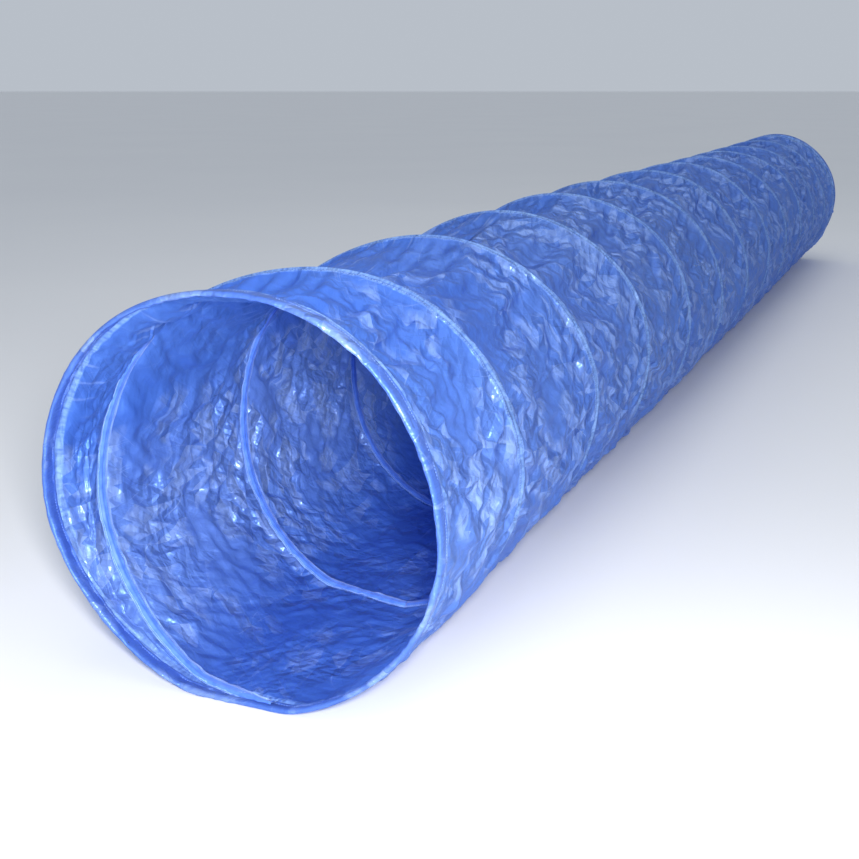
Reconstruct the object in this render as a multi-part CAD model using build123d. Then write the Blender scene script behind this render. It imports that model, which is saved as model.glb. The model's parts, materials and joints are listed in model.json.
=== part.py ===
from build123d import *
import os
from math import sin, cos, atan2, sqrt, radians

# Pop-up agility tunnel: a fabric tube held open by one spring-steel wire wound as a helix.
# +X runs along the tunnel from the near mouth to the far mouth, +Y is its left, +Z is up.
# The origin is on the floor, under the middle of the tunnel.

os.makedirs("parts", exist_ok=True)

# ---- overall size (mm)
LENGTH = 5000.0            # mouth to mouth
WIDTH = 600.0              # outside diameter of the fabric
CENTRE_HEIGHT = 290.0      # the round section settles 10 mm into a flat on the floor
CORNER_RADIUS = 100.0      # soft corner between the floor flat and the round wall

# ---- wire helix
TURNS = 12
WIRE_RADIUS = 2.0          # spring steel with its plastic coat
WIRE_DEPTH = 3.8           # from the outside of the fabric to the wire's centre line
START_ANGLE = -16.0        # where the wire leaves the mouth ring, degrees from the bottom
STEP_ANGLE = 5.0           # spacing of the points that define a helical curve

# ---- fabric and tape
FABRIC = 1.0               # thickness of the tube's cloth as modelled
HEM_LENGTH = 26.0          # folded band at each mouth, from the edge to its stitches
HEM_TAIL = 2.0             # its two layers lie flat together towards the stitches
ROLL_LENGTH = 12.0         # and stand off round the ring at the edge
ROLL_DEPTH = 7.6
RING_INSET = 6.0           # from the mouth's edge to the ring's centre line
POCKET_HALF = 3.0          # half the width of the pocket the ring lies in
POCKET_DEPTH = 6.6
TAPE_HALF = 12.0           # half the width of the tape over the wire
TAPE_GAP = 0.3             # between the tape's edges and the cloth they are sewn to
TAPE = 0.8                 # tape thickness
SEAM_GAP = 0.3             # between one bay of cloth and the next
CUT_ANGLE = 0.05           # trimmed off a wire or tape at each end of its turn

# ---- ring sleeve
SLEEVE_INNER = 2.1
SLEEVE_OUTER = 2.6
SLEEVE_FROM = 3.0          # degrees past the point where the wire leaves the ring
SLEEVE_TO = 9.0

RING_X = LENGTH / 2 - RING_INSET                # plane of each mouth ring
PITCH = 2 * RING_X / TURNS
BAY = (LENGTH - 2 * HEM_LENGTH) / TURNS         # cloth bay, one to each turn of wire
RADIUS = WIDTH / 2
CORNER_Y = sqrt((RADIUS - CORNER_RADIUS) ** 2 - (CENTRE_HEIGHT - CORNER_RADIUS) ** 2)
DEG_PER_MM = 360.0 / PITCH


def rim_point(angle, depth):
    """Point (y, z) of the cross-section, this far inside the outer face.

    The angle is in degrees from straight down, turning towards +Y and on over the top.
    """
    a = (angle + 180.0) % 360.0 - 180.0
    side = 1.0 if a >= 0 else -1.0
    a = radians(abs(a))
    join = atan2(CORNER_Y, CENTRE_HEIGHT - CORNER_RADIUS)
    flat = atan2(CORNER_Y, CENTRE_HEIGHT - depth)
    if a >= join:
        reach = RADIUS - depth
    elif a > flat:
        drop = CENTRE_HEIGHT - CORNER_RADIUS
        along = CORNER_Y * sin(a) + drop * cos(a)
        corner = CORNER_RADIUS - depth
        reach = along + sqrt(along ** 2 - CORNER_Y ** 2 - drop ** 2 + corner ** 2)
    else:
        reach = (CENTRE_HEIGHT - depth) / cos(a)
    return side * reach * sin(a), CENTRE_HEIGHT - reach * cos(a)


def section_wire(x, depth):
    """The whole cross-section at one x: floor flat, two soft corners, round wall."""
    join = atan2(CORNER_Y, CENTRE_HEIGHT - CORNER_RADIUS)
    half = join / 2
    r, rc = RADIUS - depth, CORNER_RADIUS - depth
    left_flat = (x, CORNER_Y, depth)
    right_flat = (x, -CORNER_Y, depth)
    left_join = (x, r * sin(join), CENTRE_HEIGHT - r * cos(join))
    right_join = (x, -r * sin(join), CENTRE_HEIGHT - r * cos(join))
    left_mid = (x, CORNER_Y + rc * sin(half), CORNER_RADIUS - rc * cos(half))
    right_mid = (x, -CORNER_Y - rc * sin(half), CORNER_RADIUS - rc * cos(half))
    top = (x, 0, CENTRE_HEIGHT + r)
    return Wire([
        Edge.make_line(right_flat, left_flat),
        Edge.make_three_point_arc(left_flat, left_mid, left_join),
        Edge.make_three_point_arc(left_join, top, right_join),
        Edge.make_three_point_arc(right_join, right_mid, right_flat),
    ])


def tube(x_from, x_to, depth_from, depth_to):
    """A length of hollow tube between two depths below the outer face."""
    ring = Face(section_wire(x_from, depth_from), [section_wire(x_from, depth_to)])
    return Solid.extrude(ring, Vector(x_to - x_from, 0, 0))


def turn_x(angle):
    """x of the wire's centre line at this angle, counted on over every turn."""
    return -RING_X + PITCH * (angle - START_ANGLE) / 360.0


def bay_x(count):
    """Where this many bays end, counted from the near mouth's hem."""
    return -LENGTH / 2 + HEM_LENGTH + BAY * count


def helix_curve(angle_from, angle_to, depth, shift=0.0):
    """Curve that follows the wire at a given depth, shifted along the tunnel."""
    steps = max(3, round((angle_to - angle_from) / STEP_ANGLE))
    points = []
    for i in range(steps + 1):
        angle = angle_from + (angle_to - angle_from) * i / steps
        y, z = rim_point(angle, depth)
        points.append(Vector(turn_x(angle) + shift, y, z))
    return Edge.make_spline(points)


def rod_on(path, radius):
    """A round rod swept along a path."""
    start = path.start_point() if isinstance(path, Wire) else path @ 0
    section = Wire.make_circle(radius, Plane(origin=start, z_dir=path % 0))
    return Solid.sweep(Face(section), path)


def helix_rod(angle_from, angle_to):
    return rod_on(helix_curve(angle_from, angle_to, WIRE_DEPTH), WIRE_RADIUS)


def helix_tape(angle_from, angle_to):
    """Tape with a raised middle over the wire and two flat edges sewn to the cloth."""
    low = FABRIC + TAPE_GAP
    high = WIRE_DEPTH + WIRE_RADIUS + 0.4
    foot, crown = WIRE_RADIUS + 3.4, WIRE_RADIUS + 0.9
    profile = [
        (-TAPE_HALF, low), (-foot, low), (-crown, high), (crown, high), (foot, low), (TAPE_HALF, low),
        (TAPE_HALF, low + TAPE), (foot + TAPE / 2, low + TAPE), (crown + TAPE / 2, high + TAPE),
        (-crown - TAPE / 2, high + TAPE), (-foot - TAPE / 2, low + TAPE), (-TAPE_HALF, low + TAPE),
    ]
    curves = [helix_curve(angle_from, angle_to, depth, shift) for shift, depth in profile]
    count = len(curves)
    skins = [Face.make_surface_from_curves(curves[i], curves[(i + 1) % count]) for i in range(count)]
    for end in (0, 1):
        skins.append(Face(Wire.make_polygon([c @ end for c in curves], close=True)))
    return Solid(Shell(skins))


def mouth_ring(side):
    """Closed ring of wire in the plane of the mouth; side is -1 near, +1 far."""
    path = section_wire(side * RING_X, WIRE_DEPTH)
    return rod_on(path, WIRE_RADIUS)


def mouth_sleeve(side):
    """Short steel sleeve crimped over the joint in the mouth ring."""
    angles = [START_ANGLE + side * (SLEEVE_FROM + (SLEEVE_TO - SLEEVE_FROM) * i / 4) for i in range(5)]
    points = [Vector(side * RING_X, *rim_point(a, WIRE_DEPTH)) for a in angles]
    path = Edge.make_spline(points)
    return rod_on(path, SLEEVE_OUTER) - rod_on(path, SLEEVE_INNER)


def mouth_hem(side):
    """Folded band round the mouth with a pocket for the ring and a slit for the wire."""
    edge = side * LENGTH / 2
    band = tube(edge, edge - side * HEM_LENGTH, 0, HEM_TAIL)
    band += tube(edge, edge - side * ROLL_LENGTH, 0, ROLL_DEPTH)
    pocket = tube(side * RING_X - POCKET_HALF, side * RING_X + POCKET_HALF, FABRIC, POCKET_DEPTH)
    reach = HEM_LENGTH * DEG_PER_MM
    first = START_ANGLE if side < 0 else START_ANGLE + 360.0 * TURNS - reach
    slit = rod_on(helix_curve(first, first + reach, WIRE_DEPTH), SLEEVE_OUTER)
    return band - pocket - slit


def save(shape, node):
    export_step(shape, f"parts/{node}.step")


# ---- the two mouths
for name, side in (("near", -1), ("far", 1)):
    save(mouth_ring(side), f"{name}_mouth_ring")
    save(mouth_sleeve(side), f"{name}_ring_sleeve")
    save(mouth_hem(side), f"{name}_mouth_hem")

# ---- the twelve turns: a bay of cloth, its turn of wire and the tape over that wire
wire_clear = (2 * WIRE_RADIUS + 0.4) * DEG_PER_MM
tape_clear = (HEM_LENGTH - RING_INSET + TAPE_HALF + 0.4) * DEG_PER_MM
for turn in range(1, TURNS + 1):
    first, last = turn == 1, turn == TURNS
    begin = START_ANGLE + 360.0 * (turn - 1)
    end = begin + 360.0

    bay = tube(bay_x(turn - 1) + SEAM_GAP / 2, bay_x(turn) - SEAM_GAP / 2, 0, FABRIC)
    save(bay, f"fabric_bay_{turn:02d}")

    wire_from = begin + (wire_clear if first else CUT_ANGLE)
    wire_to = end - (wire_clear if last else CUT_ANGLE)
    save(helix_rod(wire_from, wire_to), f"wire_turn_{turn:02d}")

    tape_from = begin + (tape_clear if first else CUT_ANGLE)
    tape_to = end - (tape_clear if last else CUT_ANGLE)
    save(helix_tape(tape_from, tape_to), f"tape_turn_{turn:02d}")
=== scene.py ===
"""Looks of the agility tunnel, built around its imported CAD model.

A small position-based cloth solver drapes the tunnel's cloth over the helical wire: one long
ribbon of cloth runs between each turn of wire and the next, sewn down along both. Lengths are in
metres, and angles in degrees from straight down, turning towards +Y.
"""

import json
from math import atan2, cos, pi, sin, sqrt

import bmesh
import bpy
import numpy as np
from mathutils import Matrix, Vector


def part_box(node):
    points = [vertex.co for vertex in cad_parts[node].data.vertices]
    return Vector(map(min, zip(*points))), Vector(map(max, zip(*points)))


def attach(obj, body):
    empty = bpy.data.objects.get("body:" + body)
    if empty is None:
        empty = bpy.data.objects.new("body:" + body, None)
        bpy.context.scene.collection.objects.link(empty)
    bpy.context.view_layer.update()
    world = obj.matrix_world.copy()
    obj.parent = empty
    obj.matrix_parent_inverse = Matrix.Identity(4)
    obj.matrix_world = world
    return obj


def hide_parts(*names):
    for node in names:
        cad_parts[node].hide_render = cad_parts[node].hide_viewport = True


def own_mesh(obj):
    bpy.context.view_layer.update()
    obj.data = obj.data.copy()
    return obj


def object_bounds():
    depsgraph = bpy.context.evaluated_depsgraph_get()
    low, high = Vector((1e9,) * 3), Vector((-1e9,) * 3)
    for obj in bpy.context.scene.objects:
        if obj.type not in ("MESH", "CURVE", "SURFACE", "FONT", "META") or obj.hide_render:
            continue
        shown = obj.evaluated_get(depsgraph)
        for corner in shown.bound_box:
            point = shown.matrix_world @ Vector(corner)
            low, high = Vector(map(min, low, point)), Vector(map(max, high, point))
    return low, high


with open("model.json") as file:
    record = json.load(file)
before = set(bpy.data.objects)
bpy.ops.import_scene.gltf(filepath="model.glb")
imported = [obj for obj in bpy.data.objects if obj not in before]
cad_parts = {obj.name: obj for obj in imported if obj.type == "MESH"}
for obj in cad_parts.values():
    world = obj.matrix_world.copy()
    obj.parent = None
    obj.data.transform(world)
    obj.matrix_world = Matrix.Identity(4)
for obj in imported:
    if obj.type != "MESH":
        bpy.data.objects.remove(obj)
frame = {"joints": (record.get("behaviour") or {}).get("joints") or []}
CAD_LOW, CAD_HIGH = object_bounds()

# ---- sizes, taken from the frame where it has them
LENGTH = CAD_HIGH.x - CAD_LOW.x
RADIUS = (CAD_HIGH.y - CAD_LOW.y) / 2
CENTRE = CAD_HIGH.z - RADIUS                    # height of the tunnel's axis
JOINTS = {j["child"]: j for j in frame["joints"]}
TURNS = len(JOINTS)
TRAVEL = -next(iter(JOINTS.values()))["range_m"][0]
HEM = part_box("near_mouth_hem")[1].x - CAD_LOW.x  # length of the folded band at a mouth
RING_INSET = 0.006                              # from the mouth's edge to the ring's centre line
RING_DEPTH = 0.0042                             # from the outer face to the ring's centre line
CORNER = 0.100                                  # soft corner beside the floor flat
START = -16.0                                   # where the wire leaves the mouth ring
RING_X = LENGTH / 2 - RING_INSET
PITCH = 2 * RING_X / TURNS
CORNER_Y = sqrt((RADIUS - CORNER) ** 2 - (CENTRE - CORNER) ** 2)

# ---- cloth
ROWS = 336                                      # rows of cloth round one turn
COLUMNS = 72                                    # cells from one turn of wire to the next
SLACK_ALONG, SLACK_ROUND = 0.008, 0.008         # spare cloth, as a share
CREASE = 0.022                                  # uneven stretch that makes it crumple
FLOOR_GAP = 0.0006
PROUD = 0.010                                   # furthest the cloth bulges past the round
SEWN_DEPTH = 0.0026                             # the cloth beside a wire, below its crest
SEW_LINE = 0.0085                               # from the wire to each row of stitches
TAPE_HALF = 0.012
WIRE_RADIUS = 0.002
WIRE_DEPTH = 0.0024                             # from the cloth's outer face to the wire's centre line
SLEEVE_RADIUS = 0.0026
HEM_STITCHES = 0.022                            # from the mouth's edge to the hem's stitches
CRUMPLE_DEPTH = 0.34                            # of the modelled crumples, as a share of their size
SEED = 11

# ---- colours
BLUE, DEEP_BLUE = (0.100, 0.230, 0.69, 1), (0.072, 0.186, 0.64, 1)
HEM_BLUE, HEM_DEEP_BLUE = (0.135, 0.275, 0.79, 1), (0.10, 0.215, 0.71, 1)
PAINTED_HIGHLIGHT_BLUE = (0.36, 0.52, 0.93, 1)               # painted highlight: the glossy sides of the creases, their fold lines and patches
SEAM_AND_HIGHLIGHT_BLUE = (0.30, 0.50, 0.93, 1)               # the doubled cloth along a seam, paler partly as painted highlight on its puckers


# ---- the cross-section and the wire's path

def section(angle, depth=0.0):
    """(y, z) of the floor-flattened round at an angle from straight down, this far inside it."""
    a = (np.asarray(angle, float) + 180.0) % 360.0 - 180.0
    side = np.where(a >= 0, 1.0, -1.0)
    a = np.radians(abs(a))
    drop = CENTRE - CORNER
    join = atan2(CORNER_Y, drop)
    flat = np.arctan2(CORNER_Y, CENTRE - depth)
    along = CORNER_Y * np.sin(a) + drop * np.cos(a)
    corner = along + np.sqrt(np.maximum(along**2 - CORNER_Y**2 - drop**2 + (CORNER - depth) ** 2, 0))
    reach = np.where(a >= join, RADIUS - depth, np.where(a > flat, corner, (CENTRE - depth) / np.cos(a)))
    return side * reach * np.sin(a), CENTRE - reach * np.cos(a)


def arc_length(turned):
    """Length along the cross-section after turning this far from where the wire starts."""
    turns = np.floor(turned / 360.0)
    return turns * ROUND + np.interp(turned - 360.0 * turns, ARC_ANGLES, ARC_LENGTHS)


ARC_ANGLES = np.linspace(0, 360, 3601)
_y, _z = section(ARC_ANGLES + START)
ARC_LENGTHS = np.concatenate([[0], np.cumsum(np.hypot(np.diff(_y), np.diff(_z)))])
ROUND = float(ARC_LENGTHS[-1])                  # once round the tunnel


def lean(turned):
    """How far the wire strays along the tunnel, which springs never wind quite evenly."""
    t = np.radians(np.asarray(turned, float))
    ends = np.clip(np.minimum(t, 2 * pi * TURNS - t) / 4.0, 0, 1)
    return ends * (
        0.010 * np.sin(0.61 * t + 0.4) + 0.008 * np.sin(0.37 * t + 2.0) + 0.004 * np.sin(1.7 * t)
    )


def dent(angle, x):
    """How far the wire is pushed in from a true round, at this angle and place.

    The near mouth stands a little wider than the round, most of all low on its -Y side.
    """
    a = np.radians(np.asarray(angle, float))
    side = np.clip((1 - np.cos(a)) * 1.2, 0, 1)  # none where it lies on the floor
    mouth = np.exp(-(((np.asarray(x) + LENGTH / 2) / 0.40) ** 2))
    from_corner = (np.asarray(angle) + 180) % 360 - 180 + 50
    corner = np.exp(-((from_corner / 24) ** 2))
    return -mouth * (0.010 * np.sin(a) ** 2 + 0.006 * corner) * side + side * (
        0.0025 * np.sin(2 * a + 1.9 * x)
        + 0.0020 * np.sin(3 * a - 2.3 * x + 1.0)
        + 0.0015 * np.sin(5 * a + 3.1 * x)
        + 0.0030
    )


def place(x, turned, depth):
    """A point on the tunnel's skin: x, the angle turned from the start, and the depth below it."""
    x, turned, depth = np.broadcast_arrays(x, turned, depth)
    angle = turned + START
    y, z = section(angle, depth + dent(angle, x))
    return np.stack([x, y, z], -1)


def wire_x(turned):
    return -RING_X + PITCH * np.asarray(turned, float) / 360.0 + lean(turned)


# ---- the ribbon of cloth between one turn of wire and the next

def ribbon_edges(turned):
    """x of the ribbon's two edges: a turn of wire, or the hem at either mouth."""
    turned = np.asarray(turned, float)
    first, last = -LENGTH / 2 + HEM, LENGTH / 2 - HEM
    low = np.where(turned >= 360, wire_x(np.maximum(turned - 360, 0)), first)
    high = np.where(turned <= 360 * TURNS, wire_x(np.minimum(turned, 360 * TURNS)), last)
    return np.clip(low, first, last), np.clip(high, first, last)


def resample(values, rows, columns):
    """Smooth resampling of a grid to (rows + 1, columns + 1)."""
    for axis, count in ((0, rows), (1, columns)):
        last = values.shape[axis] - 1
        t = np.linspace(0, last, count + 1)
        k = np.minimum(np.floor(t).astype(int), last - 1)
        f = (t - k).astype(np.float32).reshape([-1 if i == axis else 1 for i in range(values.ndim)])
        a, b, c, d = (np.take(values, np.clip(k + o, 0, last), axis=axis) for o in (-1, 0, 1, 2))
        values = b + 0.5 * f * (c - a + f * (2 * a - 5 * b + 4 * c - d + f * (3 * (b - c) + d - a)))
    return values


def grid_noise(shape, cell, rng):
    """Smooth noise over a grid, with features about this many cells across."""
    small = rng.standard_normal([max(4, int(n / c) + 3) for n, c in zip(shape, cell)])
    return resample(small[..., None].astype(np.float32), shape[0] - 1, shape[1] - 1)[..., 0]


class Ribbon:
    """The ideal ribbon at one resolution."""

    def __init__(self, rows, columns):
        self.columns = columns
        self.turned = np.arange(rows * (TURNS + 1) + 1) * 360.0 / rows
        low, high = ribbon_edges(self.turned)
        self.width = high - low
        share = np.linspace(0, 1, columns + 1)
        self.x = low[:, None] + self.width[:, None] * share
        self.sewn = np.minimum(share, 1 - share)[None, :] * self.width[:, None]  # to the nearest seam
        self.skin = place(self.x, self.turned[:, None], SEWN_DEPTH * 0.9)
        round_way = np.broadcast_to(arc_length(self.turned)[:, None], self.x.shape)
        self.flat = np.stack([self.x, round_way], -1)
        self.free = (self.sewn > 0.0075) & (self.width[:, None] > 0.05)
        self.free[0] = self.free[-1] = False
        inward = np.stack([0 * self.x, -self.skin[..., 1], CENTRE - self.skin[..., 2]], -1)
        self.reach = np.linalg.norm(inward, axis=-1).astype(np.float32)
        self.inward = (inward / self.reach[..., None]).astype(np.float32)


def drape(ribbon, points, uneven, steps, sweeps, pull, bend=0.08, calm=0.93, tick=0.01):
    """Lets the cloth settle: a grid with links along, across and diagonally that keep their length.

    uneven is the share by which each point's links are longer or shorter, pull the downward
    acceleration, bend the firmness of the links that skip a point, calm the share of speed kept.
    """
    points = points.astype(np.float32)
    free = ribbon.free.astype(np.float32)
    flat = ribbon.flat * np.array([1 + SLACK_ALONG, 1 + SLACK_ROUND])
    links = []

    def link(a, b, firm):
        rest = np.linalg.norm(flat[b] - flat[a], axis=-1) * (1 + 0.5 * (uneven[a] + uneven[b]))
        both = np.maximum(free[a] + free[b], 1e-6)
        links.append((a, b, rest.astype(np.float32), firm * free[a] / both, firm * free[b] / both))

    every, rows, columns = slice(None), points.shape[0] - 1, points.shape[1] - 1
    for start in (0, 1):
        wide = (columns - start) // 2 * 2
        tall = (rows - start) // 2 * 2
        link((every, slice(start, start + wide, 2)), (every, slice(start + 1, start + 1 + wide, 2)), 1.0)
        upper, lower = slice(start, start + tall, 2), slice(start + 1, start + 1 + tall, 2)
        link((upper, every), (lower, every), 1.0)
        link((upper, slice(0, -1)), (lower, slice(1, None)), 0.5)
        link((upper, slice(1, None)), (lower, slice(0, -1)), 0.5)
    for start in range(4):
        wide = 4 * ((columns + 1 - start) // 4) - 3
        tall = 4 * ((rows + 1 - start) // 4) - 3
        link((every, slice(start, start + wide, 4)), (every, slice(start + 2, start + 2 + wide, 4)), bend)
        link((slice(start, start + tall, 4), every), (slice(start + 2, start + 2 + tall, 4), every), bend)

    speed = np.zeros_like(points)
    fall = np.array([0, 0, -pull * tick], np.float32) * free[..., None]
    axis = np.array([0, CENTRE], np.float32)
    for _ in range(steps):
        speed = speed * calm + fall
        moved = points + speed * tick
        for _ in range(sweeps):
            for a, b, rest, give_a, give_b in links:
                first, second = moved[a], moved[b]
                gap = second - first
                length = np.sqrt(np.einsum("...k,...k->...", gap, gap)) + 1e-9
                stretch = 1 - rest / length
                first += (stretch * give_a)[..., None] * gap
                second -= (stretch * give_b)[..., None] * gap
            out = moved[..., 1:] - axis
            far = np.sqrt(np.einsum("...k,...k->...", out, out))
            hold = np.where(ribbon.free, np.minimum(1, (ribbon.reach + PROUD) / np.maximum(far, 1e-6)), 1)
            moved[..., 1:] = axis + out * hold[..., None]
            np.maximum(moved[..., 2], FLOOR_GAP, out=moved[..., 2])
        speed = (moved - points) / tick
        points = moved
    return points


def settle_cloth():
    """Drapes the whole ribbon coarse to fine, so that big folds carry small creases."""
    rng = np.random.default_rng(SEED)
    points = None
    # rows and columns, steps, sweeps in each step, and the height of the first ripples
    passes = [(80, 18, 50, 16, 0.010), (160, 36, 36, 14, 0.004), (ROWS, COLUMNS, 18, 11, 0.002)]
    for rows, columns, steps, sweeps, ripple in passes:
        ribbon = Ribbon(rows, columns)
        shape = ribbon.x.shape
        points = ribbon.skin if points is None else resample(points, shape[0] - 1, columns)
        cell = np.array([rows / ROUND, columns / PITCH])
        bumps = grid_noise(shape, (2.5, 2.5), rng)
        rise = np.clip(ribbon.sewn / 0.05, 0, 1) * ripple * (bumps + 0.5)
        points = points + ribbon.inward * rise[..., None]
        points = np.where(ribbon.free[..., None], points, ribbon.skin)
        uneven = CREASE * (grid_noise(shape, cell * 0.05, rng) + 0.7 * grid_noise(shape, cell * 0.022, rng))
        points = drape(ribbon, points, uneven.astype(np.float32), steps, sweeps, pull=0.6)
    return ribbon, points


# Where the cloth's columns fall beside each seam: close together, then opening out.
BESIDE = np.array([0, 1.5, 3, 4.5, 6, 7.2, 8.5, 10, 12, 15, 19, 24, 30, 36]) / 1000
MIDDLE = 60                                     # even columns between the two seams


def crest_depth(away):
    """Depth of the cloth beside a seam: over the wire, down to the stitches, then level."""
    over = WIRE_RADIUS + 0.0006
    round_top = over - np.sqrt(np.maximum(over**2 - np.minimum(away, over) ** 2, 0))
    flank = np.clip((away - over * 0.75) / 0.0045, 0, 1)
    level = np.maximum(np.minimum(round_top, SEWN_DEPTH), SEWN_DEPTH * flank * flank * (3 - 2 * flank))
    dip = 0.0006 * np.exp(-(((away - SEW_LINE) / 0.0011) ** 2))
    return level + dip


def folded_film(x, along, size, rng):
    """Height of flat-sided crumples about this many metres across, as a share of their size."""
    heights = []
    for angle, rate in ((0.5, 0.55), (1.5, 0.75), (2.5, 0.65)):
        wander = grid_noise(x.shape, (84, 36), rng)
        line = (x * cos(angle) + along * sin(angle)) * rate / size + 0.55 * wander
        heights.append(abs((line % 1.0) - 0.5))
    a, b, c = heights
    return np.maximum(np.minimum(a, b), np.minimum(c, 0.5 - a))


def finish_cloth(ribbon, points):
    """Final cloth grid with fine columns at the seams, and each column's way across."""
    width = ribbon.width[:, None]
    reach = BESIDE[-1]
    scale = np.clip(width / (2.3 * reach), 0, 1)
    near = BESIDE[None, :] * scale
    share = np.linspace(0, 1, MIDDLE + 2)[1:-1][None, :]
    middle = near[:, -1:] + (width - 2 * near[:, -1:]) * share
    across = np.concatenate([near, middle, width - near[:, ::-1]], 1)
    t = np.clip(across / np.maximum(width, 1e-6), 0, 1) * ribbon.columns
    k = np.minimum(t.astype(int), ribbon.columns - 1)
    f = (t - k)[..., None]
    rows = np.arange(len(across))[:, None]
    a, b, c, d = (points[rows, np.clip(k + o, 0, ribbon.columns)] for o in (-1, 0, 1, 2))
    draped = b + 0.5 * f * (c - a + f * (2 * a - 5 * b + 4 * c - d + f * (3 * (b - c) + d - a)))
    low, _ = ribbon_edges(ribbon.turned)
    x = low[:, None] + across
    away_low, away_high = across, width - across
    at_low_hem = ribbon.turned[:, None] < 360
    at_high_hem = ribbon.turned[:, None] > 360 * TURNS
    away = np.minimum(np.where(at_low_hem, 1.0, away_low), np.where(at_high_hem, 1.0, away_high))
    rng = np.random.default_rng(SEED + 1)
    ticks = grid_noise(across.shape, (2.2, across.shape[1]), rng)
    pucker = 0.0011 * ticks * np.clip((away - 0.002) / 0.006, 0, 1) * np.clip((0.034 - away) / 0.02, 0, 1)
    sewn = place(x, ribbon.turned[:, None], crest_depth(away) + np.clip(pucker, -0.0010, 0.0018))
    blend = np.clip((away - SEW_LINE) / 0.014, 0, 1)[..., None]
    blend = blend * blend * (3 - 2 * blend)
    final = sewn + (draped - sewn) * blend
    along = np.broadcast_to(arc_length(ribbon.turned)[:, None], across.shape)
    folds = 0.080 * folded_film(x, along, 0.080, rng) + 0.030 * folded_film(x, along, 0.030, rng)
    inward = np.stack([0 * x, -final[..., 1], CENTRE - final[..., 2]], -1)
    inward /= np.linalg.norm(inward, axis=-1, keepdims=True)
    lying = np.clip((final[..., 2] - 0.004) / 0.03, 0.15, 1)
    amount = CRUMPLE_DEPTH * (folds - 0.02) * crumpling(final) * lying
    amount *= np.clip((away - 0.012) / 0.035, 0, 1)
    amount *= np.clip(np.minimum(across, width - across) / 0.018, 0, 1)  # none under the hem's edge
    final = final + inward * amount[..., None]
    final[..., 2] = np.maximum(final[..., 2], 0.0)
    return final, across


# ---- meshes

def grid_mesh(name, points, uv, keep=None, flip=False):
    """A mesh from a grid of points, with a UV map in metres of cloth.

    keep tells which cells to use, and flip turns the faces over. Also returns which points it used.
    """
    rows, columns = points.shape[:2]
    index = np.arange(rows * columns).reshape(rows, columns)
    quads = np.stack([index[:-1, :-1], index[:-1, 1:], index[1:, 1:], index[1:, :-1]], -1).reshape(-1, 4)
    if flip:
        quads = quads[:, ::-1]
    if keep is not None:
        quads = quads[keep.reshape(-1)]
    used, quads = np.unique(quads, return_inverse=True)
    quads = quads.reshape(-1, 4)
    mesh = bpy.data.meshes.new(name)
    flat_points = points.reshape(-1, 3)[used]
    mesh.vertices.add(len(flat_points))
    mesh.vertices.foreach_set("co", flat_points.astype(np.float32).ravel())
    mesh.loops.add(quads.size)
    mesh.loops.foreach_set("vertex_index", quads.astype(np.int32).ravel())
    mesh.polygons.add(len(quads))
    mesh.polygons.foreach_set("loop_start", np.arange(0, quads.size, 4, dtype=np.int32))
    mesh.polygons.foreach_set("loop_total", np.full(len(quads), 4, np.int32))
    mesh.polygons.foreach_set("use_smooth", np.ones(len(quads), bool))
    layer = mesh.uv_layers.new(name="cloth")
    layer.data.foreach_set("uv", uv.reshape(-1, 2)[used][quads.ravel()].astype(np.float32).ravel())
    mesh.update()
    mesh.validate()
    return mesh, used


def weld(mesh, close_ends=False):
    """Joins the grid's edges where they meet, and closes the open ends of a strip or tube."""
    work = bmesh.new()
    work.from_mesh(mesh)
    bmesh.ops.remove_doubles(work, verts=work.verts, dist=2e-6)
    if close_ends:
        open_edges = [e for e in work.edges if e.is_boundary]
        bmesh.ops.holes_fill(work, edges=open_edges, sides=0)
        bmesh.ops.recalc_face_normals(work, faces=work.faces)
    work.to_mesh(mesh)
    work.free()


def add_piece(name, mesh, material):
    """An object for this mesh, in the scene."""
    piece = bpy.data.objects.new(name, mesh)
    mesh.materials.append(material)
    bpy.context.scene.collection.objects.link(piece)
    return piece


def fold_with(piece, turn):
    """The piece rides on one turn and closes up with it."""
    body = f"turn_{turn:02d}"
    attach(piece, body)
    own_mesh(piece)


def grid_normals(points):
    """Normals of a grid of points, facing out of the tunnel."""
    n = np.cross(np.gradient(points, axis=0), np.gradient(points, axis=1))
    n /= np.maximum(np.linalg.norm(n, axis=-1, keepdims=True), 1e-12)
    out = points[..., 1:] - np.array([0, CENTRE])
    sign = np.sign(np.einsum("...k,...k->...", n[..., 1:], out))[..., None]
    return n * np.where(sign == 0, 1, sign)


def crumpling(points):
    """How hard each part of the cloth has been creased, from 0 to 1; it also sets where highlight is painted
    into the cloth's colour.
    """
    angle = np.degrees(np.arctan2(points[..., 1], CENTRE - points[..., 2]))
    depth = points[..., 0] + LENGTH / 2
    band = np.exp(-(((angle - 50 - 42 * depth) / (40 + 14 * depth)) ** 2)) * np.clip(2.1 - depth, 0, 1)
    other = np.clip(0.50 + 0.5 * (depth - 0.35), 0.50, 0.72)
    other = other + 0.38 * np.exp(-(((depth - 0.25) / 0.30) ** 2) - ((angle + 85) / 38) ** 2)
    return np.where(angle > 0, 0.25 + 0.75 * band + 0.35 * np.clip(depth - 1.2, 0, 1), other)


def rows_of(turn):
    """The ribbon's rows that belong to one turn: those whose middle lies in its bay."""
    first = 0 if turn == 1 else int((turn - 0.5) * ROWS)
    last = (TURNS + 1) * ROWS if turn == TURNS else int((turn + 0.5) * ROWS)
    return first, last


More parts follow.
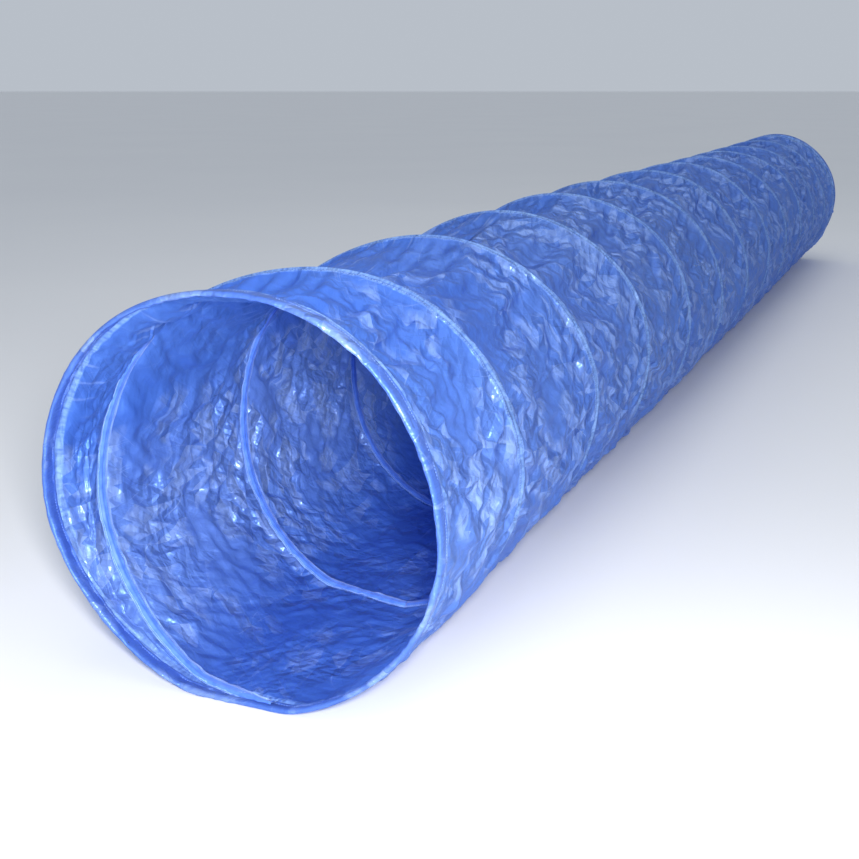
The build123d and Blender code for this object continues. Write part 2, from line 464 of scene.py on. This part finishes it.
def build_cloth(ribbon, cloth, across, material):
    """The cloth of each turn. Its mesh also says how creased it is and where it is sewn."""
    normals = grid_normals(cloth)
    away = np.minimum(across, ribbon.width[:, None] - across)
    round_way = np.broadcast_to(arc_length(ribbon.turned)[:, None], across.shape)
    uv = np.stack([ribbon.flat[:, :1, 0] + across, round_way], -1)
    pieces = {}
    for turn in range(1, TURNS + 1):
        first, last = rows_of(turn)
        span = slice(first, last + 1)
        wide = ribbon.width[span] > 0.0004
        keep = np.broadcast_to((wide[:-1] | wide[1:])[:, None], (last - first, cloth.shape[1] - 1))
        mesh, used = grid_mesh(f"fabric_bay_{turn:02d}", cloth[span], uv[span], keep, flip=True)
        seam = mesh.attributes.new("seam", "FLOAT", "POINT")
        near_seam = np.clip(1 - (away[span] - TAPE_HALF) / 0.003, 0, 1)
        seam.data.foreach_set("value", near_seam.reshape(-1)[used].astype(np.float32))
        # how creased the cloth is: sets the crumples' bump, and where the material paints highlight
        crease = mesh.attributes.new("crease", "FLOAT", "POINT")
        crease.data.foreach_set("value", crumpling(cloth[span]).reshape(-1)[used].astype(np.float32))
        mesh.normals_split_custom_set_from_vertices(normals[span].reshape(-1, 3)[used].tolist())
        piece = add_piece(f"cloth_bay_{turn:02d}", mesh, material)
        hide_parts(f"fabric_bay_{turn:02d}")
        fold_with(piece, turn)
        pieces[turn] = piece
    return pieces


class Seam:
    """Points on the cloth on both sides of the wire, for what is sewn along it."""

    def __init__(self, ribbon, cloth, across):
        self.ribbon, self.cloth, self.across = ribbon, cloth, across

    def at(self, row, away):
        """Cloth beside the wire at this row of the wire; away is signed, + towards the far mouth."""
        turned = 360.0 * row / ROWS
        x = float(wire_x(turned)) + away
        if abs(x) > LENGTH / 2 - HEM:           # inside a folded mouth band
            return place(x, turned, SEWN_DEPTH)
        r = row if away <= 0 else row + ROWS
        low = float(ribbon_edges(self.ribbon.turned[r])[0])
        return np.array([np.interp(x - low, self.across[r], self.cloth[r, :, i]) for i in range(3)])


def build_tapes(seam, material):
    """Tape inside the tunnel over the wire, with its raised middle and two sewn edges.

    Also returns the points of its inner face, for the stitches.
    """
    tilt = [-TAPE_HALF, -0.0105, -SEW_LINE, -0.0062, -0.0045, -0.003, -0.0015, 0,
            0.0015, 0.003, 0.0045, 0.0062, SEW_LINE, 0.0105, TAPE_HALF]
    clear = int(np.ceil((HEM / 2 - RING_INSET) / PITCH * ROWS))  # starts under the folded band
    rng = np.random.default_rng(SEED + 2)
    total = TURNS * ROWS
    wave = grid_noise((total + 1, 2), (6, 1), rng)
    lift = np.zeros((total + 1, len(tilt)))
    points = np.zeros((total + 1, len(tilt), 3))
    for row in range(total + 1):
        if row < clear or row > total - clear:
            continue
        for i, away in enumerate(tilt):
            points[row, i] = seam.at(row, away)
    for i, away in enumerate(tilt):
        crown = max(0.0, 1 - abs(away) / SEW_LINE) ** 0.8 * (2 * WIRE_RADIUS + 0.0016)
        edge = 0.0009 if abs(away) > 0.011 else 0.0
        dip = 0.0002 if abs(abs(away) - SEW_LINE) < 1e-6 else 0.0006
        lift[:, i] = dip + edge * (1 + 0.6 * wave[:, 0 if away < 0 else 1]) + crown
    out = points - np.array([0, 0, CENTRE])
    out[..., 0] = 0
    out /= np.maximum(np.linalg.norm(out, axis=-1, keepdims=True), 1e-9)
    inner = points - out * lift[..., None]
    outer = points - out * np.maximum(lift - 0.0004, 0.0003)[..., None]
    loop = np.concatenate([inner, outer[:, ::-1]], 1)
    loop = np.concatenate([loop, loop[:, :1]], 1)
    girth = np.concatenate([[0], np.cumsum(np.abs(np.diff(tilt)))])
    girth = np.concatenate([girth, girth[::-1] + 0.03, [0.06]])
    uv = np.stack([
        np.broadcast_to(girth, loop.shape[:2]),
        np.broadcast_to(np.arange(total + 1)[:, None] * ROUND / ROWS, loop.shape[:2]),
    ], -1)
    pieces = {}
    for turn in range(1, TURNS + 1):
        first = max((turn - 1) * ROWS, clear)
        last = min(turn * ROWS, total - clear)
        span = slice(first, last + 1)
        mesh, _ = grid_mesh(f"tape_{turn:02d}", loop[span], uv[span])
        weld(mesh, close_ends=True)
        piece = add_piece(f"seam_tape_{turn:02d}", mesh, material)
        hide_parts(f"tape_turn_{turn:02d}")
        fold_with(piece, turn)
        pieces[turn] = piece
    return pieces, inner


def tube_along(path, radius, sides=10, closed=False):
    """Grid of points for a round tube along a path."""
    ahead = np.roll(path, -1, 0) - np.roll(path, 1, 0) if closed else np.gradient(path, axis=0)
    ahead /= np.linalg.norm(ahead, axis=1, keepdims=True)
    side = np.cross(ahead, [1.0, 0, 0])
    side /= np.linalg.norm(side, axis=1, keepdims=True)
    other = np.cross(ahead, side)
    a = np.linspace(0, 2 * pi, sides + 1)
    ring = np.cos(a)[None, :, None] * side[:, None] + np.sin(a)[None, :, None] * other[:, None]
    points = path[:, None] + radius * ring
    return np.concatenate([points, points[:1]], 0) if closed else points


def tube_uv(points, step):
    """UV map in metres for a tube's grid, with this much length from one ring to the next."""
    around = np.linspace(0, 0.0126, points.shape[1])
    return np.stack(np.broadcast_arrays(around[None, :], (np.arange(points.shape[0]) * step)[:, None]), -1)


def build_wires(material, steel):
    """The spring wire turn by turn, the two mouth rings, and the sleeves that close them."""
    depth = WIRE_DEPTH + 0.0002
    clear = (2 * WIRE_RADIUS + 0.0004) / PITCH * 360
    for turn in range(1, TURNS + 1):
        begin = 360.0 * (turn - 1) + (clear if turn == 1 else 0)
        end = 360.0 * turn - (clear if turn == TURNS else 0)
        turned = np.linspace(begin, end, 181)
        path = place(wire_x(turned), turned, depth)
        points = tube_along(path, WIRE_RADIUS)
        mesh, _ = grid_mesh(f"wire_{turn:02d}", points, tube_uv(points, ROUND / 180))
        weld(mesh, close_ends=True)
        piece = add_piece(f"wire_coil_{turn:02d}", mesh, material)
        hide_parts(f"wire_turn_{turn:02d}")
        fold_with(piece, turn)
    for name, side in (("near", -1), ("far", 1)):
        body = "near_mouth" if side < 0 else f"turn_{TURNS:02d}"
        turned = np.linspace(0, 360, 241)[:-1]
        path = place(side * RING_X, turned, RING_DEPTH)
        points = tube_along(path, WIRE_RADIUS, closed=True)
        mesh, _ = grid_mesh(f"{name}_ring", points, tube_uv(points, ROUND / 240))
        weld(mesh)
        piece = add_piece(f"{name}_ring", mesh, material)
        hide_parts(f"{name}_mouth_ring")
        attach(piece, body)
        turned = side * np.linspace(3, 9, 25)
        path = place(side * RING_X, turned, RING_DEPTH)
        shape = np.interp(np.arange(25), [0, 1, 2, 6, 7, 9, 10, 14, 15, 17, 18, 22, 23, 24],
                          [0.9, 1, 1, 1, 0.9, 0.9, 1, 1, 0.9, 0.9, 1, 1, 1, 0.9])
        points = tube_along(path, SLEEVE_RADIUS, sides=16)
        points = path[:, None] + (points - path[:, None]) * shape[:, None, None]
        mesh, _ = grid_mesh(f"{name}_sleeve", points, tube_uv(points, 0.0013))
        weld(mesh, close_ends=True)
        piece = add_piece(f"{name}_sleeve", mesh, steel)
        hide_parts(f"{name}_ring_sleeve")
        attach(piece, body)


# The hem's folded shape: distance from the mouth's edge and depth below the skin, in mm.
HEM_FOLD = [
    (26.4, 1.8), (25, 1.5), (23, 1.7), (22, 2.1), (21, 1.6), (18, 1.0), (14, 0.5), (10, 0.2), (7, 0.0),
    (4.5, 0.15), (2.6, 0.7), (1.2, 1.7), (0.3, 3.1), (0.0, 4.5), (0.4, 6.0), (1.6, 7.2), (3.6, 7.9),
    (6, 8.1), (9, 7.6), (13, 6.3), (17, 4.9), (20, 3.9), (21.2, 3.4), (22, 3.1), (22.8, 3.3),
    (24.3, 3.6), (26.0, 3.8), (26.1, 3.4), (24, 3.2),
]


def build_hem(name, side, material):
    """The cloth folded over the mouth ring, gathered by its stitches."""
    count = 528
    turned = np.linspace(0, 360, count + 1)
    fold = np.array(HEM_FOLD) / 1000
    rng = np.random.default_rng(SEED + 5 + side)
    shape = (count + 1, len(fold))
    gather = grid_noise(shape, (2.6, 8), rng) * 0.0005 + grid_noise(shape, (9, 9), rng) * 0.0005
    fade = np.clip(turned / 12, 0, 1) * np.clip((360 - turned) / 12, 0, 1)
    gather *= fade[:, None] * np.clip((fold[:, 1] - 0.0002) / 0.002, 0, 1)[None, :]
    at_stitches = np.exp(-(((fold[:, 0] - HEM_STITCHES) / 0.005) ** 2))
    pulled = grid_noise(shape, (3.0, 40), rng) * fade[:, None] * at_stitches[None, :]
    depth = fold[None, :, 1] + gather + 0.00045 * pulled
    x = side * (LENGTH / 2 - fold[None, :, 0])
    points = place(np.broadcast_to(x, shape), turned[:, None], depth)
    points[..., 2] = np.maximum(points[..., 2], 0.0)
    points[-1] = points[0]
    girth = np.concatenate([[0], np.cumsum(np.hypot(*np.diff(fold, axis=0).T))])
    uv = np.stack(np.broadcast_arrays(girth[None, :], arc_length(turned)[:, None]), -1)
    mesh, _ = grid_mesh(f"{name}_hem", points, uv, flip=side > 0)
    weld(mesh)
    piece = add_piece(f"{name}_hem", mesh, material)
    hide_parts(f"{name}_mouth_hem")
    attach(piece, "near_mouth" if side < 0 else f"turn_{TURNS:02d}")
    return piece


def stitch_mesh(name, starts, ends, lifts, thick=0.00042):
    """Short plump threads from each start to each end, standing off along lifts."""
    mid = (starts + ends) / 2
    along = ends - starts
    along /= np.maximum(np.linalg.norm(along, axis=1, keepdims=True), 1e-9)
    side = np.cross(along, lifts)
    side /= np.maximum(np.linalg.norm(side, axis=1, keepdims=True), 1e-9)
    up = np.cross(side, along)
    corners = [starts, mid + side * thick, mid + up * thick, mid - side * thick, mid - up * thick, ends]
    points = np.stack(corners, 1)
    faces = np.array([[0, 1, 2], [0, 2, 3], [0, 3, 4], [0, 4, 1], [5, 2, 1], [5, 3, 2], [5, 4, 3], [5, 1, 4]])
    faces = (faces[None] + 6 * np.arange(len(starts))[:, None, None]).reshape(-1, 3)
    mesh = bpy.data.meshes.new(name)
    mesh.from_pydata(points.reshape(-1, 3).tolist(), [], faces.tolist())
    mesh.polygons.foreach_set("use_smooth", np.ones(len(faces), bool))
    mesh.update()
    return mesh


def stitches_on(path, outward, pitch=0.0042, length=0.0034, sink=0.0001):
    """Starts, ends and lifts of the stitches along one sewn line."""
    run = np.concatenate([[0], np.cumsum(np.linalg.norm(np.diff(path, axis=0), axis=1))])
    first = np.arange(0, run[-1] - length, pitch)

    def at(where, what):
        return np.stack([np.interp(where, run, what[:, i]) for i in range(3)], -1)

    lifts = at(first + length / 2, outward)
    lifts /= np.linalg.norm(lifts, axis=1, keepdims=True)
    return at(first, path) + lifts * sink, at(first + length, path) + lifts * sink, lifts


def build_stitches(seam, inner, thread):
    """Two rows of thread along each turn and one round each hem, outside and inside."""
    clear = int(np.ceil((HEM - RING_INSET + TAPE_HALF + 0.003) / PITCH * ROWS))
    total = TURNS * ROWS
    for turn in range(1, TURNS + 1):
        first, last = max((turn - 1) * ROWS, clear), min(turn * ROWS, total - clear)
        parts = []
        for away, column in ((-SEW_LINE, 2), (SEW_LINE, 12)):
            outside = np.array([seam.at(row, away) for row in range(first, last + 1)])
            out = outside - np.array([0, 0, CENTRE])
            out[:, 0] = 0
            parts.append(stitches_on(outside + 0.0002 * out / RADIUS, out))
            parts.append(stitches_on(inner[first:last + 1, column], -out))
        starts, ends, lifts = (np.concatenate([p[i] for p in parts]) for i in range(3))
        starts[:, 2], ends[:, 2] = np.maximum(starts[:, 2], 0.0004), np.maximum(ends[:, 2], 0.0004)
        mesh = stitch_mesh(f"stitches_{turn:02d}", starts, ends, lifts)
        piece = add_piece(f"seam_stitches_{turn:02d}", mesh, thread)
        fold_with(piece, turn)
    for name, side in (("near", -1), ("far", 1)):
        turned = np.linspace(0, 360, 721)
        parts = []
        for depth, lift in ((0.0020, 1), (0.0031, -1)):
            path = place(side * (LENGTH / 2 - HEM_STITCHES), turned, depth)
            out = path - np.array([0, 0, CENTRE])
            out[:, 0] = 0
            parts.append(stitches_on(path, out * lift))
        starts, ends, lifts = (np.concatenate([p[i] for p in parts]) for i in range(3))
        mesh = stitch_mesh(f"{name}_stitches", starts, ends, lifts)
        piece = add_piece(f"{name}_hem_stitches", mesh, thread)
        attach(piece, "near_mouth" if side < 0 else f"turn_{TURNS:02d}")


# ---- materials

class Nodes:
    """Short names for building a node tree."""

    def __init__(self, name):
        self.material = bpy.data.materials.new(name)
        self.material.use_nodes = True
        self.tree = self.material.node_tree
        self.shader = self.tree.nodes["Principled BSDF"]

    def add(self, kind, inputs=None, **settings):
        node = self.tree.nodes.new(kind)
        for key, value in settings.items():
            setattr(node, key, value)
        for key, value in (inputs or {}).items():
            if isinstance(value, bpy.types.NodeSocket):
                self.tree.links.new(value, node.inputs[key])
            else:
                node.inputs[key].default_value = value
        return node

    def set(self, values):
        for key, value in values.items():
            self.shader.inputs[key].default_value = value

    def link(self, socket, target):
        self.tree.links.new(socket, self.shader.inputs[target])

    def uv(self):
        return self.add("ShaderNodeUVMap", uv_map="cloth").outputs[0]

    def attribute(self, name):
        return self.add("ShaderNodeAttribute", attribute_name=name).outputs["Fac"]

    def math(self, operation, a, b=0.0, clamp=False):
        return self.add("ShaderNodeMath", {0: a, 1: b}, operation=operation, use_clamp=clamp).outputs[0]

    def times(self, a, b, clamp=False):
        return self.math("MULTIPLY", a, b, clamp)

    def plus(self, a, b):
        return self.math("ADD", a, b)

    def vector(self, operation, a, b):
        return self.add("ShaderNodeVectorMath", {0: a, 1: b}, operation=operation).outputs[0]

    def stretch(self, vector, across, around, shift=0.0):
        return self.vector("ADD", self.vector("MULTIPLY", vector, (across, around, 1)), (shift, shift, shift))

    def noise(self, vector, scale, detail=0.0, output="Fac"):
        names = {"Vector": vector, "Scale": scale, "Detail": detail}
        return self.add("ShaderNodeTexNoise", names).outputs[output]

    def wave(self, vector, scale, direction, **inputs):
        names = {"Vector": vector, "Scale": scale, **inputs}
        return self.add("ShaderNodeTexWave", names, bands_direction=direction).outputs["Fac"]

    def bump(self, height, strength, distance, **inputs):
        names = {"Height": height, "Strength": strength, "Distance": distance, **inputs}
        return self.add("ShaderNodeBump", names).outputs[0]

    def ramp(self, value, low, high, to_low=0.0, to_high=1.0):
        names = {"Value": value, "From Min": low, "From Max": high, "To Min": to_low, "To Max": to_high}
        return self.add("ShaderNodeMapRange", names).outputs[0]

    def mix(self, share, a, b):
        node = self.add("ShaderNodeMix", data_type="RGBA", blend_type="MIX")
        for key, value in (("Factor", share), ("A", a), ("B", b)):
            socket = next(s for s in node.inputs if s.name == key and s.enabled)
            if isinstance(value, bpy.types.NodeSocket):
                self.tree.links.new(value, socket)
            else:
                socket.default_value = value
        return next(s for s in node.outputs if s.enabled)


def zigzag(n, uv, where, angle, per_metre, wander, seed):
    """Folds to and fro along nearly straight lines: the height, 0 to 0.5, and one set of sides."""
    drift = n.times(n.noise(n.stretch(uv, 1, 1, seed), 4.0), wander)
    across = (cos(angle) * per_metre, sin(angle) * per_metre, 0)
    line = n.add("ShaderNodeVectorMath", {0: where, 1: across}, operation="DOT_PRODUCT").outputs["Value"]
    step = n.plus(line, drift)
    return n.math("PINGPONG", step, 0.5), n.ramp(n.math("FRACT", step), 0.48, 0.52)


def crumple_of(n, uv, where, size, seed):
    """Flat-sided crumples about this many metres across.

    Returns their height in metres, their lit sides, and a value that is 0 along their sharpest folds.
    """
    a, side_a = zigzag(n, uv, where, 0.35, 0.55 / size, 3.2, seed)
    b, _ = zigzag(n, uv, where, 1.35, 0.75 / size, 3.8, seed + 2.1)
    c, side_c = zigzag(n, uv, where, 2.40, 0.65 / size, 3.4, seed + 4.7)
    top = n.math("MAXIMUM", n.math("MINIMUM", a, b), n.math("MINIMUM", c, n.math("SUBTRACT", 0.5, a)))
    gap = n.math("ABSOLUTE", n.math("SUBTRACT", a, b))
    sides = n.times(n.math("GREATER_THAN", b, a), side_c)
    sides = n.math("MAXIMUM", sides, n.times(n.math("GREATER_THAN", c, b), side_a))
    return n.times(top, size), sides, gap


def cloth_material(name, base, dark, crumple=1.0, seam=False):
    """Coated taffeta: sharp creases with flat sides, glossy patches, fine pleats and weave, with highlight
    and shade painted into its colour.

    Heights are in metres. With seam, the mesh says how creased the cloth is and where it is sewn.
    """
    n = Nodes(name)
    uv = n.uv()
    how = n.attribute("crease") if seam else n.ramp(n.noise(uv, 8.0), 0.35, 0.65, 0.3, 0.8)
    drift = n.vector("MULTIPLY", n.noise(uv, 26.0, 1.0, "Color"), (0.004, 0.004, 0.0))
    where = n.vector("ADD", uv, drift)
    patchy = n.noise(uv, 8.0, 2.0)
    fresh = n.noise(n.stretch(uv, 1, 1, 3.7), 3.0, 1.0)
    strong = n.times(how, n.ramp(patchy, 0.36, 0.58, 0.28, 1.42))

    # crumples of three sizes, pleats both ways, long gathers, and the ticks of the sewing
    broad, side_1, gap_1 = crumple_of(n, uv, where, 0.056, 1.0)
    small, side_2, gap_2 = crumple_of(n, uv, where, 0.022, 8.0)
    tiny, _, _ = crumple_of(n, uv, where, 0.0095, 13.0)
    height = n.plus(n.times(broad, 0.42 * crumple), n.times(small, 0.42 * crumple))
    height = n.times(n.plus(height, n.times(tiny, 0.22 * crumple)), strong)
    pleat_a = n.noise(n.stretch(where, 100.0, 9.0), 1.0, 1.0)
    pleat_b = n.noise(n.stretch(where, 9.0, 100.0), 1.0, 1.0)
    height = n.plus(height, n.times(pleat_a, n.ramp(fresh, 0.45, 0.6, 0.0002, 0.0010 * crumple)))
    height = n.plus(height, n.times(pleat_b, n.ramp(fresh, 0.52, 0.4, 0.0002, 0.0010 * crumple)))
    leant = n.add("ShaderNodeVectorRotate", {"Vector": uv, "Angle": 0.30}, rotation_type="Z_AXIS").outputs[0]
    gathers = n.noise(n.stretch(leant, 30.0, 1.8), 1.0, 0.5)
    height = n.plus(height, n.times(gathers, n.ramp(n.noise(uv, 2.6), 0.42, 0.6, 0.0006, 0.0048 * crumple)))
    ticks = n.noise(n.stretch(uv, 35.0, 190.0), 1.0, 1.0)
    band = n.attribute("seam") if seam else None
    height = n.plus(height, n.times(ticks, n.times(band, 0.0022) if seam else 0.0012))
    creased = n.bump(height, 1.0, 1.0)
    weave = n.times(n.wave(uv, 420.0, "X"), n.wave(uv, 420.0, "Y"))
    n.link(n.bump(weave, 0.1, 0.0002, Normal=creased), "Normal")

    # colour: cloudy blue, with painted highlight where it is creased most, on the creases' lit sides and
    # along the folds, and painted shade in the folds
    colour = n.mix(n.ramp(n.noise(uv, 4.0, 4.0), 0.35, 0.65), dark, base)
    # painted highlight: paler where the cloth is creased most, over its glossy patches
    colour = n.mix(n.ramp(how, 0.50, 1.0, 0.0, 0.30), colour, PAINTED_HIGHLIGHT_BLUE)
    # painted highlight along the ridges of the long pleats
    painted_streak_highlights = n.times(n.ramp(pleat_b, 0.60, 0.68), n.ramp(fresh, 0.53, 0.45))
    painted_streak_highlights = n.times(painted_streak_highlights, n.ramp(how, 0.55, 0.35))
    colour = n.mix(n.times(painted_streak_highlights, 0.4), colour, PAINTED_HIGHLIGHT_BLUE)
    # painted highlight on the crumples' lit sides; the same mask also lowers the roughness below
    sides = n.times(side_1, n.ramp(side_2, 0.0, 1.0, 0.55, 1.0))
    shine = n.times(sides, n.ramp(strong, 0.45, 0.70), clamp=True)
    colour = n.mix(n.times(shine, n.ramp(how, 0.70, 0.85, 0.50, 0.78)), colour, PAINTED_HIGHLIGHT_BLUE)
    used = n.ramp(strong, 0.15, 0.8)
    # thin lines along the sharpest folds: painted highlight on some, painted shade on others
    lines = n.plus(n.ramp(gap_1, 0.0, 0.014, 1.0, 0.0), n.times(n.ramp(gap_2, 0.0, 0.03, 1.0, 0.0), 0.5))
    bright = n.times(lines, n.ramp(n.noise(uv, 35.0), 0.48, 0.56))
    shaded = n.times(lines, n.ramp(n.noise(uv, 35.0), 0.52, 0.44))
    colour = n.mix(n.times(bright, n.times(used, 0.75), clamp=True), colour, PAINTED_HIGHLIGHT_BLUE)
    # painted shade in the folds: a darker copy of the cloth's blue
    shade = tuple(0.45 * c for c in dark[:3]) + (1,)
    colour = n.mix(n.times(shaded, n.times(used, 0.45), clamp=True), colour, shade)
    if seam:
        # paler speckles along the seam: the doubled cloth, and painted highlight on its puckers
        pucker_highlight_speckle = n.times(n.ramp(ticks, 0.35, 0.6, 0.35, 1.0), n.ramp(patchy, 0.3, 0.7, 0.6, 1.0))
        colour = n.mix(n.times(band, pucker_highlight_speckle), colour, SEAM_AND_HIGHLIGHT_BLUE)
    n.link(colour, "Base Color")
    n.link(n.plus(n.times(shine, -0.10), n.ramp(fresh, 0.3, 0.7, 0.36, 0.44)), "Roughness")
    n.set({
        "Specular IOR Level": 0.32, "Specular Tint": (0.6, 0.78, 1.0, 1.0), "Metallic": 0.35,
        "Sheen Weight": 0.03, "Sheen Roughness": 0.4, "Sheen Tint": (0.62, 0.78, 1.0, 1.0),
        "Coat Weight": 0.03, "Coat Roughness": 0.15, "Coat Tint": (0.7, 0.85, 1.0, 1.0),
    })

    # thin cloth lets some light through
    glow = n.add("ShaderNodeBsdfTranslucent", {"Color": colour, "Normal": creased})
    thin = n.add("ShaderNodeMixShader", {0: 0.36, 1: n.shader.outputs[0], 2: glow.outputs[0]})
    n.tree.links.new(thin.outputs[0], n.tree.nodes["Material Output"].inputs["Surface"])
    return n.material


def tape_material():
    """Woven binding tape: cross ribs, and edges painted paler as highlight."""
    n = Nodes("seam_tape")
    uv = n.uv()
    ribs = n.wave(uv, 160.0, "Y", Distortion=1.5, Detail=2.0)
    cloudy = n.noise(uv, 60.0, 3.0)
    colour = n.mix(n.ramp(cloudy, 0.35, 0.7), (0.055, 0.155, 0.60, 1), (0.11, 0.25, 0.76, 1))
    # painted highlight along the tape's two edges
    middle = n.math("SUBTRACT", n.add("ShaderNodeSeparateXYZ", {"Vector": uv}).outputs["X"], TAPE_HALF)
    edge = n.ramp(n.math("ABSOLUTE", middle), SEW_LINE + 0.0008, TAPE_HALF - 0.0008)
    edge = n.times(edge, n.ramp(cloudy, 0.3, 0.6, 0.35, 1.0))
    n.link(n.mix(edge, colour, (0.30, 0.48, 0.90, 1)), "Base Color")
    n.link(n.bump(n.plus(n.times(ribs, 0.0001), n.times(cloudy, 0.0006)), 0.7, 1.0), "Normal")
    n.link(n.ramp(cloudy, 0.3, 0.7, 0.38, 0.52), "Roughness")
    n.set({"Sheen Weight": 0.2})
    return n.material


def thread_material():
    """Twisted pale blue thread."""
    n = Nodes("thread")
    twist = n.noise(n.add("ShaderNodeTexCoord").outputs["Object"], 900.0, 2.0)
    n.link(n.mix(n.ramp(twist, 0.3, 0.7), (0.20, 0.36, 0.78, 1), (0.34, 0.52, 0.92, 1)), "Base Color")
    n.link(n.ramp(twist, 0.3, 0.7, 0.45, 0.6), "Roughness")
    n.link(n.bump(twist, 0.4, 0.0002), "Normal")
    return n.material


def wire_material():
    """Black plastic coat, lightly scuffed."""
    n = Nodes("wire_coat")
    drag = n.noise(n.uv(), 300.0, 3.0)
    n.link(n.mix(drag, (0.012, 0.012, 0.014, 1), (0.03, 0.03, 0.034, 1)), "Base Color")
    n.link(n.ramp(drag, 0.3, 0.7, 0.3, 0.45), "Roughness")
    return n.material


def sleeve_material():
    """Dull steel of the crimped sleeves."""
    n = Nodes("sleeve_steel")
    brushed = n.noise(n.uv(), 900.0, 2.0)
    n.link(n.mix(brushed, (0.42, 0.43, 0.45, 1), (0.60, 0.61, 0.63, 1)), "Base Color")
    n.link(n.ramp(brushed, 0.3, 0.7, 0.25, 0.4), "Roughness")
    n.set({"Metallic": 1.0})
    return n.material


# ---- stage, light and camera

def build_stage():
    """A plain pale floor."""
    bpy.ops.mesh.primitive_plane_add(size=600, location=(0, 0, -0.0005))
    floor = bpy.context.object
    floor.name = "floor"
    n = Nodes("floor")
    cloudy = n.noise(n.add("ShaderNodeTexCoord").outputs["Object"], 0.6, 3.0)
    n.link(n.mix(cloudy, (0.79, 0.79, 0.80, 1), (0.83, 0.83, 0.83, 1)), "Base Color")
    n.set({"Roughness": 0.8})
    floor.data.materials.append(n.material)


def add_light(name, position, aim, size, power):
    """A soft rectangular light."""
    data = bpy.data.lights.new(name, "AREA")
    data.shape = "RECTANGLE"
    data.size, data.size_y = size
    data.energy = power
    lamp = bpy.data.objects.new(name, data)
    bpy.context.scene.collection.objects.link(lamp)
    lamp.location = position
    lamp.rotation_euler = (Vector(aim) - Vector(position)).to_track_quat("-Z", "Y").to_euler()


def build_lights(eye):
    """A pale room, a broad light overhead, a small bright one beside the camera, a weak one in front."""
    world = bpy.data.worlds.new("studio")
    bpy.context.scene.world = world
    world.use_nodes = True
    world.node_tree.nodes["Background"].inputs["Color"].default_value = (0.83, 0.90, 1.0, 1)
    world.node_tree.nodes["Background"].inputs["Strength"].default_value = 0.58
    bpy.context.scene.view_settings.view_transform = "Standard"
    right = Vector((0.39, -0.92, 0))
    beside = eye + right * 0.06 + Vector((0, 0, 0.08))
    add_light("key", beside, (-1.6, 0.1, 0.25), (0.20, 0.20), 66)
    add_light("overhead", (-0.5, -0.6, 4.2), (-0.5, 0, 0), (6.0, 3.0), 48)
    add_light("front", (-5.6, 1.6, 2.2), (-2.2, 0, 0.3), (2.6, 1.8), 4)


def build_camera():
    """Low beside the near mouth, looking down the tunnel's length."""
    data = bpy.data.cameras.new("camera")
    data.sensor_width = 36.0
    data.lens = 51.87
    data.clip_end = 100
    camera = bpy.data.objects.new("camera", data)
    bpy.context.scene.collection.objects.link(camera)
    eye = Vector((CAD_LOW.x + 0.003 - 1.334, -0.858, CENTRE + 0.551))
    ahead = Vector((0.885, 0.376, -0.271))
    camera.location = eye
    camera.rotation_euler = ahead.to_track_quat("-Z", "Y").to_euler()
    bpy.context.scene.camera = camera
    return eye


def main():
    ribbon, points = settle_cloth()
    cloth, across = finish_cloth(ribbon, points)
    skin = cloth_material("tunnel_cloth", BLUE, DEEP_BLUE, seam=True)
    hem = cloth_material("hem_cloth", HEM_BLUE, HEM_DEEP_BLUE, crumple=0.5)
    tape, thread = tape_material(), thread_material()
    bays = build_cloth(ribbon, cloth, across, skin)
    seam = Seam(ribbon, cloth, across)
    tapes, inner = build_tapes(seam, tape)
    build_wires(wire_material(), sleeve_material())
    near_hem, far_hem = build_hem("near", -1, hem), build_hem("far", 1, hem)
    build_stitches(seam, inner, thread)
    build_stage()
    build_lights(build_camera())


main()
